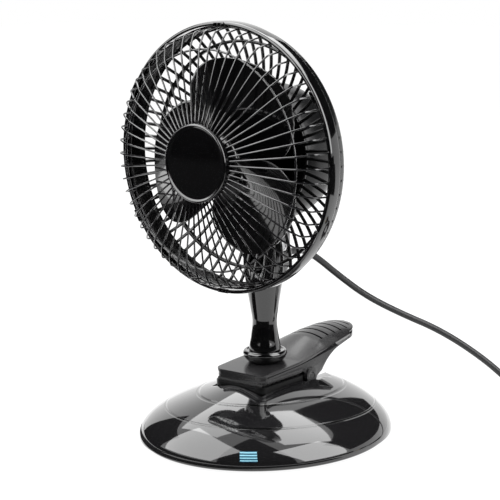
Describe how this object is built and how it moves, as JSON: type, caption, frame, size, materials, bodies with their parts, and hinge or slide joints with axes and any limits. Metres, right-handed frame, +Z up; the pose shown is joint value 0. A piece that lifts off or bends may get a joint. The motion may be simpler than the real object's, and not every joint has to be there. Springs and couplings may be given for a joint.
{
  "type": "clip fan",
  "caption": "Small clip-on desk fan: round wire guard, wide blades, tilting head on a swivel neck, and a spring clip lever on an oval weighted base.",
  "frame": {"origin": "On the desk, at the centre of the base's footprint and under the neck's swivel axis.", "axes": "+Z up. The fan blows towards -Y. +X is to the right as seen by somebody standing in front of the fan and looking along +Y."},
  "size_m": [0.3461, 0.3005, 0.303],
  "materials": {
    "gloss_black": "high-gloss black",
    "black_plastic": "satin black",
    "black_flex": "soft black flex",
    "rubber": "matte rubber",
    "plain_steel": "zinc-plated",
    "brass": "plain",
    "copper_winding": "enamelled wire"
  },
  "bodies": {
    "base": {"base_shell": "gloss_black", "base_plate": "black_plastic", "ballast_weight": "plain_steel", "rubber_feet": "rubber", "base_screws": "plain_steel"},
    "clip_lower": {"lower_jaw": "black_plastic", "lower_jaw_pad": "rubber", "pivot_pin": "plain_steel", "clip_spring": "plain_steel"},
    "clip_upper": {"upper_lever": "gloss_black", "upper_jaw_pad": "rubber", "swivel_collar": "gloss_black"},
    "neck": {"neck_post": "gloss_black", "swivel_washer": "plain_steel", "swivel_screw": "plain_steel", "neck_yoke": "gloss_black", "tilt_bolt": "plain_steel", "tilt_nut": "plain_steel", "tilt_washers": "rubber", "strain_relief": "black_flex", "cord_lead": "black_flex", "cord_coil": "black_flex", "coil_tie": "black_plastic", "plug_body": "black_plastic", "plug_pins": "brass"},
    "head": {"motor_housing": "black_plastic", "rear_guard": "black_plastic", "guard_rim": "black_plastic", "rim_clips": "black_plastic", "front_guard": "gloss_black", "front_cap": "gloss_black", "cap_back": "black_plastic", "cap_screws": "plain_steel", "motor_mount": "black_plastic", "guard_screws": "plain_steel", "front_bearing": "brass", "rear_bearing": "brass", "rear_bracket": "plain_steel", "motor_pillars": "plain_steel", "stator": "plain_steel", "stator_coils": "copper_winding", "speed_switch": "black_plastic"},
    "fan": {"fan_blades": "gloss_black", "blade_nut": "black_plastic", "motor_shaft": "plain_steel", "rotor_core": "plain_steel"},
    "knob": {"speed_knob": "gloss_black"}
  },
  "joints": [
    {"name": "clip_slide", "type": "slide", "parent": "base", "child": "clip_lower", "axis": [0, 1, 0], "range_m": [0, 0.09]},
    {"name": "clip_open", "type": "hinge", "parent": "clip_lower", "child": "clip_upper", "pos_m": [0, 0.0237, 0.0428], "axis": [-1, 0, 0], "range_deg": [0, 22], "stiffness_Nm_per_rad": 1.5, "springref_deg": -28.65, "deforming": ["clip_spring"]},
    {"name": "neck_swivel", "type": "hinge", "parent": "clip_upper", "child": "neck", "pos_m": [0, 0, 0.06], "axis": [0, 0, 1], "range_deg": [-90, 90]},
    {"name": "head_tilt", "type": "hinge", "parent": "neck", "child": "head", "pos_m": [0, 0.004, 0.141], "axis": [-1, 0, 0], "range_deg": [-15, 40]},
    {"name": "fan_spin", "type": "hinge", "parent": "head", "child": "fan", "pos_m": [0, 0, 0.208], "axis": [0, 1, 0], "continuous": true},
    {"name": "speed_turn", "type": "hinge", "parent": "head", "child": "knob", "pos_m": [0, 0.05, 0.208], "axis": [0, -1, 0], "range_deg": [0, 90]}
  ]
}
